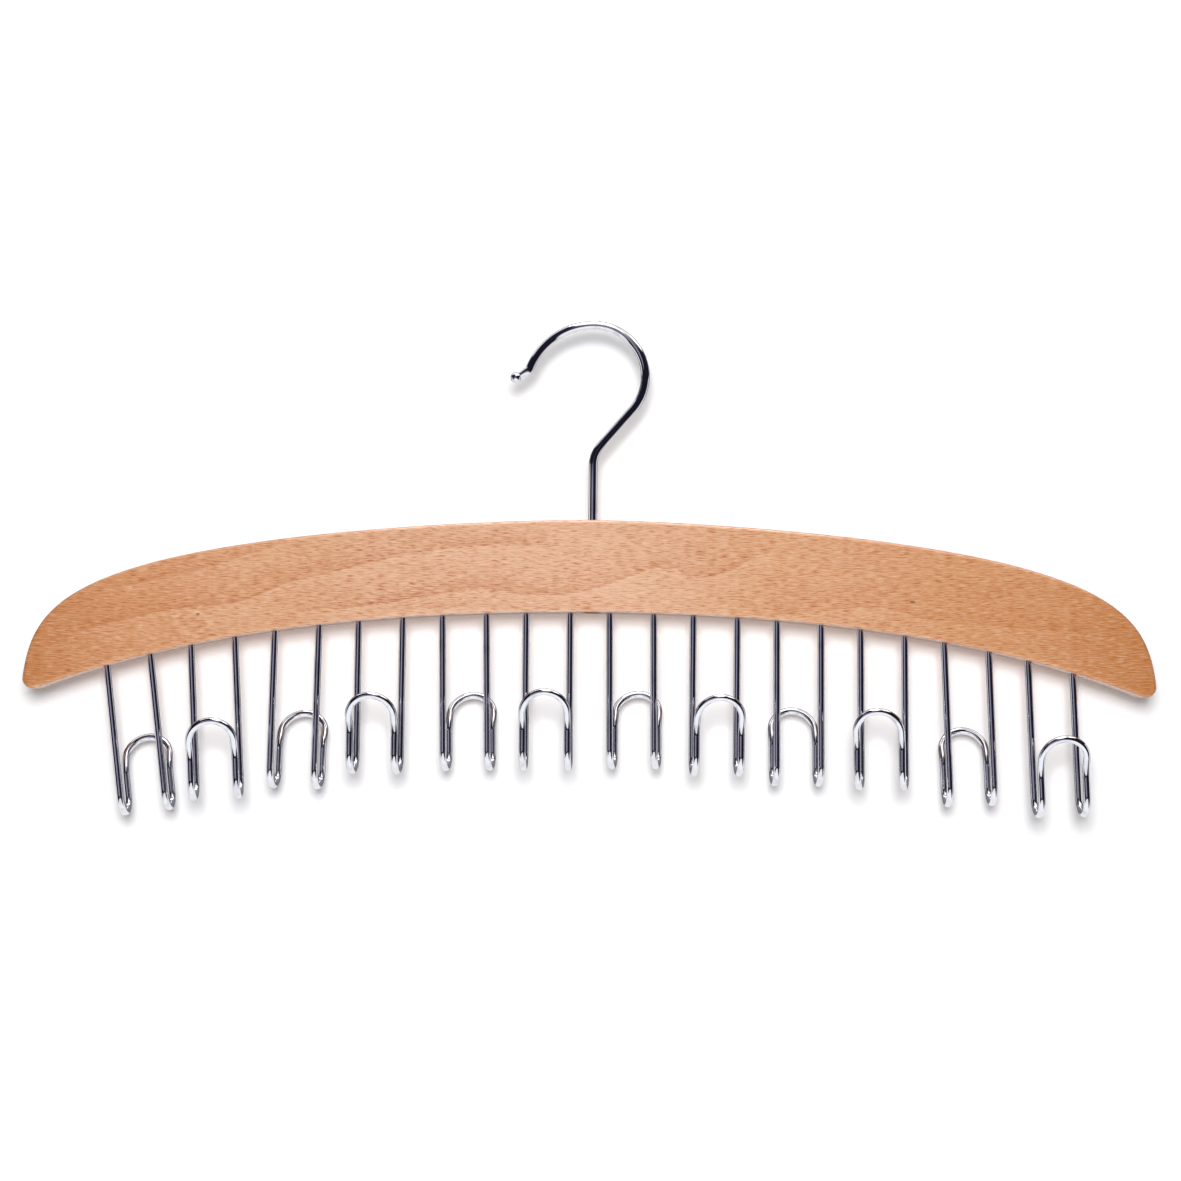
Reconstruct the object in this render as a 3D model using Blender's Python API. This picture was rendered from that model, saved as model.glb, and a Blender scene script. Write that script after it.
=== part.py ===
"""Belt hanger: an arched beech board on a swivelling wire hook, with twelve bent-wire belt hooks.

Metres, +Z up. +X runs along the board to the right as seen from the front, and +Y runs from
the front face to the back face. The origin is the rod seat, the highest point on the inner
side of the hook's crown, and the hook swivels about the Z axis through it.
"""

import math

import bpy
import numpy as np

# Board. The top edge is z = -SHOULDER_HEIGHT * (1 - (1 - u^a)^(1/b)), with u the share of the
# half span, a the ARCH_POWER and b the SHOULDER_POWER. The underside is hollowed by
# UNDERSIDE_RISE, of which a part follows u^4 and the rest u^2.
BOARD_SPAN = 0.4388
BOARD_HEIGHT = 0.0359
BOARD_THICKNESS = 0.012
SHOULDER_HEIGHT = 0.1073
ARCH_POWER = 1.574
SHOULDER_POWER = 6
UNDERSIDE_RISE = 0.0335
QUARTIC_SHARE = 0.32
CORNER_RADIUS = 0.004
EDGE_ROUND = 0.0015
BORE_OFFSET = 0.0008  # the stem's bore stands this far to the right of the board's middle

# Swivel hook: one steel wire, measured on its centreline
HOOK_WIRE = 0.0034
STEM_EXPOSED = 0.0221
STEM_BEND_RADIUS = 0.012
SLANT_DEG = 40.8
CROWN_RADIUS = 0.0202
MOUTH_RADIUS = 0.0269
MOUTH_DEG = 69.0
TIP_BEND_RADIUS = 0.0025
TIP_BEND_DEG = 39.5
TIP_NECK = 0.0034
TIP_NECK_WIRE = 0.0024
TIP_BALL = 0.0042

# Swivel bearing: the stem's upset head turns under a washer in a counterbore from below
HEAD_DIAMETER = 0.0056
HEAD_THICKNESS = 0.0015
HEAD_CHAMFER = 0.0003
WASHER_DIAMETER = 0.0074
WASHER_THICKNESS = 0.001
COUNTERBORE_DEPTH = 0.010

# Belt hooks: each is one wire, two shanks in the board, turned up at the foot and joined by an arch.
# LEG_LENGTH is the upright part of a leg. Above it the leg bends outwards, runs on for FLARE_LENGTH
# and joins the arch, which leans as far.
# HOOK_GAP is left between the shanks of neighbours, and the rest of their pitch is a hook's width.
BELT_WIRE = 0.0027
BELT_HOOK_COUNT = 12
END_MARGIN = 0.0404
HOOK_GAP = 0.0154
SHANK_LENGTH = 0.053
THROAT_DEPTH = 0.013
LEG_LENGTH = 0.0067
FLARE_RADIUS = 0.012
FLARE_DEG = 28.0
FLARE_LENGTH = 0.0023
SEAT_DEPTH = 0.012

# How each hand-bent belt hook stands, from the left: its foot's swing towards +X in degrees, the
# skew of its turned-up part towards +X in degrees, and how far it is drawn out, in SHANK_LENGTHs
SWING_DEG = (7.4, 3.5, -0.8, -0.1, 1.0, 0.2, 0.4, -0.3, 0.0, 0.1, 1.9, 2.0)
SKEW_DEG = (1.0, 2.7, 6.0, -5.3, 6.7, -2.9, 9.0, 3.9, -3.1, -13.9, 0.1, 0.8)
DRAWN_SHARES = (-0.026, 0.007, 0.026, -0.019, -0.007, 0.007, -0.007, 0.018, 0.046, 0.0, 0.016, -0.06)

CLEARANCE = 0.0003
CUT_OVERRUN = 0.005

TOP_POINTS = 26
UNDERSIDE_POINTS = 16
CORNER_STEPS = 6
EDGE_STEPS = 3
DENSE_POINTS = 4001
CORNER_PASSES = 6
HOOK_BEVEL_RESOLUTION = 4
BELT_BEVEL_RESOLUTION = 2
DEGREES_PER_RING = 9.0
BELT_DEGREES_PER_RING = 15.0
BALL_RINGS = 8
BALL_END_DEG = 165.0
BORE_SIDES = 24
SHANK_HOLE_SIDES = 12

BEECH = (0.74, 0.45, 0.28)
CHROME = (0.78, 0.79, 0.82)
ZINC = (0.62, 0.63, 0.64)


def clear_scene():
    for old in list(bpy.data.objects):
        bpy.data.objects.remove(old, do_unlink=True)


def finish(obj, name, colour, metallic, roughness):
    """Give an object its own material."""
    material = bpy.data.materials.new(name)
    material.use_nodes = True
    shader = material.node_tree.nodes["Principled BSDF"]
    shader.inputs["Base Color"].default_value = (*colour, 1.0)
    shader.inputs["Metallic"].default_value = metallic
    shader.inputs["Roughness"].default_value = roughness
    obj.data.materials.clear()
    obj.data.materials.append(material)


def add_mesh(name, vertices, faces):
    mesh = bpy.data.meshes.new(name)
    mesh.from_pydata([tuple(map(float, v)) for v in vertices], [], faces)
    mesh.validate()
    obj = bpy.data.objects.new(name, mesh)
    bpy.context.collection.objects.link(obj)
    return obj


def rod_seat_to_crown_centre():
    """Drop from the rod seat to the centre of the crown's arc."""
    return CROWN_RADIUS - HOOK_WIRE / 2


def stem_bend_height():
    """Height where the vertical stem starts to bend, so that the slant is tangent to the crown."""
    slant = math.radians(SLANT_DEG)
    rise = (CROWN_RADIUS + STEM_BEND_RADIUS * (1 - math.cos(slant))) / math.sin(slant)
    return -rod_seat_to_crown_centre() - rise


BOARD_TOP = stem_bend_height() - STEM_EXPOSED
HALF_SPAN = BOARD_SPAN / 2
HOOK_PITCH = (BOARD_SPAN - 2 * END_MARGIN) / (BELT_HOOK_COUNT - 1)
SHANK_SPACING = HOOK_PITCH - HOOK_GAP


def underside_height(x):
    """Height of the board's hollowed lower edge, at a distance from the board's middle."""
    u = np.abs(x) / HALF_SPAN
    hollow = (1 - QUARTIC_SHARE) * u ** 2 + QUARTIC_SHARE * u ** 4
    return BOARD_TOP - BOARD_HEIGHT - UNDERSIDE_RISE * hollow


def top_edge_reach(z):
    """Distance of the board's top edge from the middle, at a height on its side."""
    share = 1 - (BOARD_TOP - z) / SHOULDER_HEIGHT
    return HALF_SPAN * (1 - share ** SHOULDER_POWER) ** (1 / ARCH_POWER)


def lower_corner():
    """Where the side would meet the underside if the corner were sharp."""
    x = HALF_SPAN
    for _ in range(CORNER_PASSES):
        x = top_edge_reach(underside_height(x))
    return np.array((x, underside_height(x)))


def unit(vector):
    return vector / np.linalg.norm(vector)


def spaced(curve, count):
    """Points along a dense curve, closer together where it turns."""
    legs = np.diff(curve, axis=0)
    heading = np.unwrap(np.arctan2(legs[:, 1], legs[:, 0]))
    turned = np.abs(np.diff(heading, prepend=heading[0]))
    length = np.hypot(legs[:, 0], legs[:, 1])
    measure = np.append(0.0, np.cumsum(length / length.sum() + turned / turned.sum()))
    marks = np.linspace(0.0, measure[-1], count)
    return np.column_stack([np.interp(marks, measure, curve[:, axis]) for axis in range(2)])


def half_outline():
    """The board's right half as (x, z) points, from the top's middle to the underside's middle."""
    corner = lower_corner()
    above = corner + np.array((0.0, CORNER_RADIUS))
    up_side = unit(np.array((top_edge_reach(above[1]), above[1])) - corner)
    inward_x = corner[0] - CORNER_RADIUS
    inward = unit(np.array((inward_x, underside_height(inward_x))) - corner)
    half_angle = math.acos(float(np.dot(up_side, inward))) / 2
    tangent = CORNER_RADIUS / math.tan(half_angle)
    side_end = corner + tangent * up_side
    underside_start = corner + tangent * inward
    centre = corner + unit(up_side + inward) * CORNER_RADIUS / math.sin(half_angle)

    lowest_share = 1 - (BOARD_TOP - side_end[1]) / SHOULDER_HEIGHT
    heights = BOARD_TOP - SHOULDER_HEIGHT * (1 - np.linspace(1.0, lowest_share, DENSE_POINTS))
    top = spaced(np.column_stack((top_edge_reach(heights), heights)), TOP_POINTS)
    start = math.atan2(*(side_end - centre)[::-1])
    sweep = math.pi - 2 * half_angle
    angles = start - sweep * np.arange(1, CORNER_STEPS) / CORNER_STEPS
    rounded = centre + CORNER_RADIUS * np.column_stack((np.cos(angles), np.sin(angles)))
    along = np.linspace(underside_start[0], 0.0, DENSE_POINTS)
    underside = spaced(np.column_stack((along, underside_height(along))), UNDERSIDE_POINTS)
    return np.vstack((top, rounded, underside))


def board_blank():
    """The board before it is drilled: its outline drawn through the thickness, edges rounded."""
    right = half_outline()
    left = right[-2:0:-1] * np.array((-1.0, 1.0))
    outline = np.vstack((right, left)) - np.array((BORE_OFFSET, 0.0))
    count = len(outline)
    front = [(x, -BOARD_THICKNESS / 2, z) for x, z in outline]
    back = [(x, BOARD_THICKNESS / 2, z) for x, z in outline]
    faces = [tuple(range(count - 1, -1, -1)), tuple(range(count, 2 * count))]
    for i in range(count):
        j = (i + 1) % count
        faces.append((i, j, count + j, count + i))
    board = add_mesh("board", front + back, faces)
    rounding = board.modifiers.new("rounded edges", "BEVEL")
    rounding.width = EDGE_ROUND
    rounding.segments = EDGE_STEPS
    rounding.limit_method = "ANGLE"
    rounding.angle_limit = math.radians(60.0)
    return board


def turned(profile, sides, closed):
    """Vertices and faces of (radius, height) pairs turned about Z.

    The profile runs upwards on its outer side. An open one gets a flat disc at both ends.
    """
    count = len(profile)
    angles = [2 * math.pi * step / sides for step in range(sides)]
    vertices = [(r * math.cos(a), r * math.sin(a), z) for a in angles for r, z in profile]
    faces = []
    for i in range(sides):
        here = i * count
        there = (i + 1) % sides * count
        for j in range(count if closed else count - 1):
            k = (j + 1) % count
            faces.append((here + j, there + j, there + k, here + k))
    if not closed:
        faces.append(tuple(i * count for i in range(sides - 1, -1, -1)))
        faces.append(tuple(i * count + count - 1 for i in range(sides)))
    return vertices, faces


def around(radius, sides):
    """Corner radius of a polygon whose flats lie at a radius."""
    return radius / math.cos(math.pi / sides)


def bearing_heights():
    """Heights of the swivel bearing: counterbore ceiling, washer top and bottom, head top and bottom."""
    ceiling = underside_height(BORE_OFFSET) + COUNTERBORE_DEPTH
    washer_top = ceiling - CLEARANCE
    washer_bottom = washer_top - WASHER_THICKNESS
    head_top = washer_bottom - CLEARANCE
    return ceiling, washer_top, washer_bottom, head_top, head_top - HEAD_THICKNESS


def stem_drill():
    """The stepped drill for the stem and its counterbore."""
    ceiling = bearing_heights()[0]
    bore = around(HOOK_WIRE / 2 + CLEARANCE, BORE_SIDES)
    counterbore = around(WASHER_DIAMETER / 2 + CLEARANCE, BORE_SIDES)
    bottom = underside_height(BORE_OFFSET) - CUT_OVERRUN
    profile = [(counterbore, bottom), (counterbore, ceiling), (bore, ceiling), (bore, BOARD_TOP + CUT_OVERRUN)]
    return turned(profile, BORE_SIDES, closed=False)


def belt_hook_seats():
    """For each belt hook: where it enters the board, its swing, its skew and how far it is drawn out."""
    seats = []
    for i in range(BELT_HOOK_COUNT):
        x = (i - (BELT_HOOK_COUNT - 1) / 2) * HOOK_PITCH
        swing = math.radians(SWING_DEG[i])
        skew = math.radians(SKEW_DEG[i])
        drawn = DRAWN_SHARES[i] * SHANK_LENGTH
        seats.append((x - BORE_OFFSET, float(underside_height(x)), swing, skew, drawn))
    return seats


def shank_drills():
    """A blind drill for each shank, along the swing of its belt hook."""
    vertices = []
    faces = []
    radius = around(BELT_WIRE / 2 + CLEARANCE, SHANK_HOLE_SIDES)
    for x, z, swing, _, drawn in belt_hook_seats():
        profile = [(radius, -CUT_OVERRUN), (radius, SEAT_DEPTH - drawn + CLEARANCE)]
        for across in (-SHANK_SPACING / 2, SHANK_SPACING / 2):
            drill, drill_faces = turned(profile, SHANK_HOLE_SIDES, closed=False)
            base = len(vertices)
            for dx, y, dz in drill:
                px = dx + across
                turned_x = px * math.cos(swing) - dz * math.sin(swing)
                turned_z = px * math.sin(swing) + dz * math.cos(swing)
                vertices.append((x + turned_x, y, z + turned_z))
            faces += [tuple(base + index for index in face) for face in drill_faces]
    return vertices, faces


def drill_board(board):
    """Cut the stem bore and the 24 shank holes with one set of drills."""
    vertices, faces = stem_drill()
    more_vertices, more_faces = shank_drills()
    base = len(vertices)
    faces = faces + [tuple(base + index for index in face) for face in more_faces]
    drills = add_mesh("drills", vertices + more_vertices, faces)
    drills.hide_render = True
    drills.display_type = "WIRE"
    cut = board.modifiers.new("drilled", "BOOLEAN")
    cut.operation = "DIFFERENCE"
    cut.solver = "EXACT"
    cut.object = drills


def make_board():
    board = board_blank()
    drill_board(board)
    board.data.shade_smooth()
    board.data.set_sharp_from_angle(angle=math.radians(35.0))
    finish(board, "varnished beech", BEECH, 0.0, 0.42)


def wire_object(name, points, radii, bevel_resolution):
    """A round wire along points, with its own radius at each."""
    curve = bpy.data.curves.new(name, "CURVE")
    curve.dimensions = "3D"
    curve.bevel_depth = max(radii)
    curve.bevel_resolution = bevel_resolution
    curve.use_fill_caps = True
    spline = curve.splines.new("POLY")
    spline.points.add(len(points) - 1)
    for point, place, radius in zip(spline.points, points, radii):
        point.co = (*place, 1.0)
        point.radius = radius / curve.bevel_depth
    obj = bpy.data.objects.new(name, curve)
    bpy.context.collection.objects.link(obj)
    return obj


def arc(centre, radius, start, end, degrees_per_ring):
    """Points on an arc in the XZ plane after its start, from one angle in degrees to another."""
    steps = max(2, round(abs(end - start) / degrees_per_ring))
    angles = [math.radians(start + (end - start) * (i + 1) / steps) for i in range(steps)]
    return [(centre[0] + radius * math.cos(a), centre[1] + radius * math.sin(a)) for a in angles]


def hook_centreline():
    """The swivel hook's centreline as (x, z), from the stem's bend to the neck of the ball."""
    bend = stem_bend_height()
    line = [(0.0, bend)]
    line += arc((STEM_BEND_RADIUS, bend), STEM_BEND_RADIUS, 180.0, 180.0 - SLANT_DEG, DEGREES_PER_RING)
    crown = (0.0, -rod_seat_to_crown_centre())
    slant = math.radians(SLANT_DEG)
    line.append((crown[0] + CROWN_RADIUS * math.cos(slant), crown[1] - CROWN_RADIUS * math.sin(slant)))
    line += arc(crown, CROWN_RADIUS, -SLANT_DEG, 90.0, DEGREES_PER_RING)
    mouth = (0.0, crown[1] + CROWN_RADIUS - MOUTH_RADIUS)
    mouth_end = 90.0 + MOUTH_DEG
    line += arc(mouth, MOUTH_RADIUS, 90.0, mouth_end, DEGREES_PER_RING)
    outward = math.radians(mouth_end)
    tip = (line[-1][0] + TIP_BEND_RADIUS * math.cos(outward), line[-1][1] + TIP_BEND_RADIUS * math.sin(outward))
    line += arc(tip, TIP_BEND_RADIUS, mouth_end - 180.0, mouth_end - 180.0 - TIP_BEND_DEG, DEGREES_PER_RING)
    return line


def make_swivel_hook():
    """One wire: upset head, stem, slant, crown, mouth, outward tip and its ball."""
    head_top, head_bottom = bearing_heights()[3:]
    wire = HOOK_WIRE / 2
    head = HEAD_DIAMETER / 2
    rings = [
        (0.0, head_bottom, head - HEAD_CHAMFER),
        (0.0, head_bottom + HEAD_CHAMFER, head),
        (0.0, head_top - HEAD_CHAMFER, head),
        (0.0, head_top, wire),
    ]
    rings += [(x, z, wire) for x, z in hook_centreline()]
    end = np.array(rings[-1][:2])
    outward = math.radians(180.0 + MOUTH_DEG - TIP_BEND_DEG)
    heading = np.array((math.cos(outward), math.sin(outward)))
    ball = TIP_BALL / 2
    neck_angle = math.degrees(math.asin(TIP_NECK_WIRE / TIP_BALL))
    centre = end + heading * (TIP_NECK + ball * math.cos(math.radians(neck_angle)))
    for i in range(BALL_RINGS):
        angle = math.radians(neck_angle + (BALL_END_DEG - neck_angle) * i / (BALL_RINGS - 1))
        x, z = centre - heading * ball * math.cos(angle)
        rings.append((x, z, ball * math.sin(angle)))
    points = [(x, 0.0, z) for x, z, _ in rings]
    hook = wire_object("swivel_hook", points, [radius for _, _, radius in rings], HOOK_BEVEL_RESOLUTION)
    finish(hook, "hook chrome", CHROME, 1.0, 0.08)


def make_washer():
    _, top, bottom, _, _ = bearing_heights()
    inner = around(HOOK_WIRE / 2 + CLEARANCE, BORE_SIDES)
    outer = WASHER_DIAMETER / 2
    profile = [(outer, bottom), (outer, top), (inner, top), (inner, bottom)]
    vertices, faces = turned(profile, BORE_SIDES, closed=True)
    washer = add_mesh("hook_washer", vertices, faces)
    washer.data.shade_smooth()
    washer.data.set_sharp_from_angle(angle=math.radians(35.0))
    finish(washer, "zinc", ZINC, 1.0, 0.35)


def belt_hook_run(across, skew, side, drawn):
    """Half of a belt hook: from the shank's end in the wood, round the foot and up to the arch."""
    reach_x = math.sin(skew)
    reach_y = side * math.cos(skew)
    foot = THROAT_DEPTH / 2
    bend = -SHANK_LENGTH - drawn
    points = [(across, 0.0, SEAT_DEPTH - drawn), (across, 0.0, bend)]
    line = arc((foot, bend), foot, 180.0, 360.0, BELT_DEGREES_PER_RING)
    line.append((THROAT_DEPTH, bend + LEG_LENGTH))
    flare = (THROAT_DEPTH + FLARE_RADIUS, bend + LEG_LENGTH)
    line += arc(flare, FLARE_RADIUS, 180.0, 180.0 - FLARE_DEG, BELT_DEGREES_PER_RING)
    lean = math.radians(FLARE_DEG)
    line.append((line[-1][0] + FLARE_LENGTH * math.sin(lean), line[-1][1] + FLARE_LENGTH * math.cos(lean)))
    points += [(across + reach_x * reach, reach_y * reach, z) for reach, z in line]
    return points


def make_belt_hook(index, seat):
    """One belt hook. Odd ones, counted from the left, turn up behind the board."""
    x, z, swing, skew, drawn = seat
    side = 1.0 if index % 2 == 0 else -1.0
    left = belt_hook_run(-SHANK_SPACING / 2, skew, side, drawn)
    right = belt_hook_run(SHANK_SPACING / 2, skew, side, drawn)
    leg_x, leg_y, leg_z = left[-1]
    flare = math.radians(FLARE_DEG)
    lean_x = math.sin(flare) * math.sin(skew)
    lean_y = math.sin(flare) * math.cos(skew) * side
    middle = leg_x + SHANK_SPACING / 2
    arch = arc((middle, 0.0), SHANK_SPACING / 2, 180.0, 0.0, BELT_DEGREES_PER_RING)[:-1]
    bow = [(px + lean_x * up, leg_y + lean_y * up, leg_z + math.cos(flare) * up) for px, up in arch]
    points = left + bow + right[::-1]
    name = f"belt_hook_{index + 1:02d}"
    hook = wire_object(name, points, [BELT_WIRE / 2] * len(points), BELT_BEVEL_RESOLUTION)
    hook.location = (x, 0.0, z)
    hook.rotation_euler = (0.0, -swing, 0.0)
    finish(hook, f"chrome {index + 1}", CHROME, 1.0, 0.1)


def build():
    clear_scene()
    make_board()
    make_swivel_hook()
    make_washer()
    for index, seat in enumerate(belt_hook_seats()):
        make_belt_hook(index, seat)


build()
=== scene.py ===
# %% [markdown]
# # A belt hanger, dressed for the camera
# The real object is an arched beech board that hangs on a chromed wire hook. Twelve belt hooks,
# each bent from one wire, stand in its underside. A CAD model already says where everything is,
# and this lesson gives every piece its true surface and finish. All lengths are in metres, +Z is
# up, +X runs to the right along the board and +Y runs from its front face to its back.

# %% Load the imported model
import math

import bpy
import numpy as np
from mathutils import Euler, Matrix


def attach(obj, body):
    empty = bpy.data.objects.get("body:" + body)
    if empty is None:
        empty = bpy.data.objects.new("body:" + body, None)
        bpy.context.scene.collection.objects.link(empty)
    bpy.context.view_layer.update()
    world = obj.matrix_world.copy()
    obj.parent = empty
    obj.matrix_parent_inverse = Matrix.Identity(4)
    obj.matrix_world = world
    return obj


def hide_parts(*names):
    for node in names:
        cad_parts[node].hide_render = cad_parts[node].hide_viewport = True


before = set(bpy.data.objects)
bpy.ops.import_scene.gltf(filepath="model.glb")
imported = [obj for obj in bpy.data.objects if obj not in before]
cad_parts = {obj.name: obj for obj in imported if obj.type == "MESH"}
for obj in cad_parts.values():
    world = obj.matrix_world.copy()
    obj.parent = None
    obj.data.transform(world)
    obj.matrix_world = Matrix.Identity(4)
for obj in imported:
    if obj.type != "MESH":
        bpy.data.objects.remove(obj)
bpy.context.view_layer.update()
print("nodes:", len(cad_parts))

# %% [markdown]
# ## Helpers that turn arrays into meshes
# A wire, a drill and a washer are all the same kind of surface: a row of rings. A sphere or
# cylinder from Blender's menu could stand in for them, but a ring formula in numpy gives the exact
# bend radii of the real wire, and every vertex comes from one array expression.

# %% Mesh helpers
MM = 0.001
CREASE_DEG = 35.0
CURVE_STEP_DEG = 3.0


def unit(vectors):
    """Each row divided by its own length."""
    return vectors / np.linalg.norm(vectors, axis=-1, keepdims=True)


def add_object(name, vertices, faces):
    """A mesh object at the origin, its place in its vertices."""
    mesh = bpy.data.meshes.new(name)
    mesh.from_pydata(np.asarray(vertices).tolist(), [], faces)
    mesh.update()
    piece = bpy.data.objects.new(name, mesh)
    bpy.context.scene.collection.objects.link(piece)
    return piece


def shade(piece, sharp_deg=CREASE_DEG):
    """Smooth shading, with creases where two faces meet at more than sharp_deg."""
    piece.data.shade_smooth()
    piece.data.set_sharp_from_angle(angle=math.radians(sharp_deg))


def ring_faces(rings, sides, closed=False):
    """Four-sided faces between neighbouring rings, numbered ring by ring.

    Face (i, j) joins points j and j + 1 of ring i to the same points of ring i + 1. A closed row of
    rings also joins the last ring to the first.
    """
    index = np.arange(rings * sides).reshape(rings, sides)
    after = np.roll(index, -1, axis=1)
    corners = (index, after, np.roll(after, -1, axis=0), np.roll(index, -1, axis=0))
    count = rings if closed else rings - 1
    return np.stack(corners, axis=-1)[:count].reshape(-1, 4).tolist()


def shell(rings):
    """Vertices and faces of an open row of rings, closed by a fan of triangles at each end."""
    count, sides, _ = rings.shape
    poles = np.stack((rings[0].mean(axis=0), rings[-1].mean(axis=0)))
    vertices = np.vstack((rings.reshape(-1, 3), poles))
    first = np.arange(sides)
    last = first + (count - 1) * sides
    start = np.stack((np.full(sides, count * sides), np.roll(first, -1), first), axis=-1)
    end = np.stack((np.full(sides, count * sides + 1), last, np.roll(last, -1)), axis=-1)
    return vertices, ring_faces(count, sides) + start.tolist() + end.tolist()


def headings(path):
    """The direction of a path at each point: from the point before to the point after."""
    ahead = np.vstack((path[1:], path[-1:]))
    behind = np.vstack((path[:1], path[:-1]))
    return unit(ahead - behind)


def sweep(path, radii, sides, aside, along=None):
    """Rings of a round section carried along a path.

    Ring point = path + radius * (cos(angle) * across + sin(angle) * over), where across is the
    vector aside with its part along the heading taken off, and over is heading x across.
    """
    forward = headings(path) if along is None else along
    across = unit(aside - (forward @ aside)[:, None] * forward)
    over = np.cross(forward, across)
    angle = np.linspace(0.0, 2 * math.pi, sides, endpoint=False)
    spokes = np.cos(angle)[:, None] * across[:, None, :] + np.sin(angle)[:, None] * over[:, None, :]
    return path[:, None, :] + radii[:, None, None] * spokes


def arc(centre, radius, start_deg, end_deg, step_deg=CURVE_STEP_DEG):
    """Points (centre + radius * (cos, sin)) from just after one angle to the other."""
    steps = max(2, round(abs(end_deg - start_deg) / step_deg))
    angle = np.radians(np.linspace(start_deg, end_deg, steps + 1)[1:])
    return np.array(centre) + radius * np.column_stack((np.cos(angle), np.sin(angle)))


print("helpers ready, lengths in metres")

# %% [markdown]
# ## Helpers for finishes
# A finish is a network of nodes. Writing it as short calls keeps the recipe readable: each call
# adds one node and gives back the socket that carries its result.

# %% Finish helpers
def srgb(red, green, blue):
    """A colour given as screen values from 0 to 255, turned into the linear values that light uses.

    The screen standard's formula: a straight line near black, else ((share + 0.055) / 1.055) ^ 2.4.
    """
    share = np.array((red, green, blue)) / 255
    linear = np.where(share <= 0.04045, share / 12.92, ((share + 0.055) / 1.055) ** 2.4)
    return (*linear.tolist(), 1.0)


class Finish:
    """A material and short calls that add nodes to it. Each gives back an output socket."""

    def __init__(self, name):
        self.material = bpy.data.materials.new(name)
        self.material.use_nodes = True
        self.tree = self.material.node_tree
        self.shader = self.tree.nodes["Principled BSDF"]
        self.place = self.add("ShaderNodeTexCoord").outputs["Object"]

    def add(self, kind, **settings):
        node = self.tree.nodes.new(kind)
        for name, value in settings.items():
            setattr(node, name, value)
        return node

    def plug(self, socket, value):
        """Link a socket to another, or set its own number or colour."""
        if isinstance(value, bpy.types.NodeSocket):
            self.tree.links.new(value, socket)
        else:
            socket.default_value = value

    def math(self, operation, *values, clamp=False):
        node = self.add("ShaderNodeMath", operation=operation, use_clamp=clamp)
        for socket, value in zip(node.inputs, values):
            self.plug(socket, value)
        return node.outputs[0]

    def total(self, values):
        result = values[0]
        for value in values[1:]:
            result = self.math("ADD", result, value)
        return result

    def fade(self, value, low, high, to_low=0.0, to_high=1.0):
        """A smooth step: to_low below low, to_high above high. low may be the larger number."""
        node = self.add("ShaderNodeMapRange", interpolation_type="SMOOTHSTEP")
        for socket, number in zip(node.inputs, (value, low, high, to_low, to_high)):
            self.plug(socket, number)
        return node.outputs[0]

    def axes(self, vector):
        node = self.add("ShaderNodeSeparateXYZ")
        self.plug(node.inputs[0], vector)
        return node.outputs[0], node.outputs[1], node.outputs[2]

    def vector(self, x, y, z):
        node = self.add("ShaderNodeCombineXYZ")
        for socket, value in zip(node.inputs, (x, y, z)):
            self.plug(socket, value)
        return node.outputs[0]

    def scaled(self, vector, sizes):
        """Coordinates divided by a size along each axis, so that a pattern's cell has that size."""
        node = self.add("ShaderNodeVectorMath", operation="DIVIDE")
        self.plug(node.inputs[0], vector)
        self.plug(node.inputs[1], sizes)
        return node.outputs[0]

    def noise(self, vector, detail=2.0, roughness=0.5, distortion=0.0):
        node = self.add("ShaderNodeTexNoise")
        self.plug(node.inputs["Vector"], vector)
        self.plug(node.inputs["Scale"], 1.0)
        self.plug(node.inputs["Detail"], detail)
        self.plug(node.inputs["Roughness"], roughness)
        self.plug(node.inputs["Distortion"], distortion)
        return node.outputs["Fac"]

    def cells(self, vector, randomness=1.0):
        """Distance to the nearest of a field of scattered points, and that point's own random number."""
        node = self.add("ShaderNodeTexVoronoi")
        self.plug(node.inputs["Vector"], vector)
        self.plug(node.inputs["Scale"], 1.0)
        self.plug(node.inputs["Randomness"], randomness)
        return node.outputs["Distance"], self.axes(node.outputs["Color"])[0]

    def mix(self, share, first, second, blend="MIX"):
        node = self.add("ShaderNodeMix", data_type="RGBA", blend_type=blend)
        self.plug(node.inputs[0], share)
        self.plug(node.inputs[6], first)
        self.plug(node.inputs[7], second)
        return node.outputs[2]

    def ramp(self, value, stops):
        node = self.add("ShaderNodeValToRGB")
        node.color_ramp.interpolation = "EASE"
        while len(node.color_ramp.elements) < len(stops):
            node.color_ramp.elements.new(0.5)
        for element, (position, colour) in zip(node.color_ramp.elements, stops):
            element.position = position
            element.color = colour
        self.plug(node.inputs[0], value)
        return node.outputs[0]

    def bump(self, height, depth):
        node = self.add("ShaderNodeBump")
        self.plug(node.inputs["Height"], height)
        self.plug(node.inputs["Distance"], depth)
        return node.outputs[0]

    def set(self, **values):
        """Give the shader's sockets their values: underscores in a name stand for spaces."""
        for name, value in values.items():
            self.plug(self.shader.inputs[name.replace("_", " ")], value)


print("finish helpers ready")

# %% [markdown]
# ## The board's outline
# The board is sawn from one plank. Its top edge is a long arch that falls steeply at the
# shoulders, its underside is hollowed, and the two lower corners are rounded. A Bezier curve could
# be drawn over a picture of it. Formulas are used instead, because the same few sizes that shaped
# the CAD solid then give a far finer outline of exactly the same board.

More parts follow.
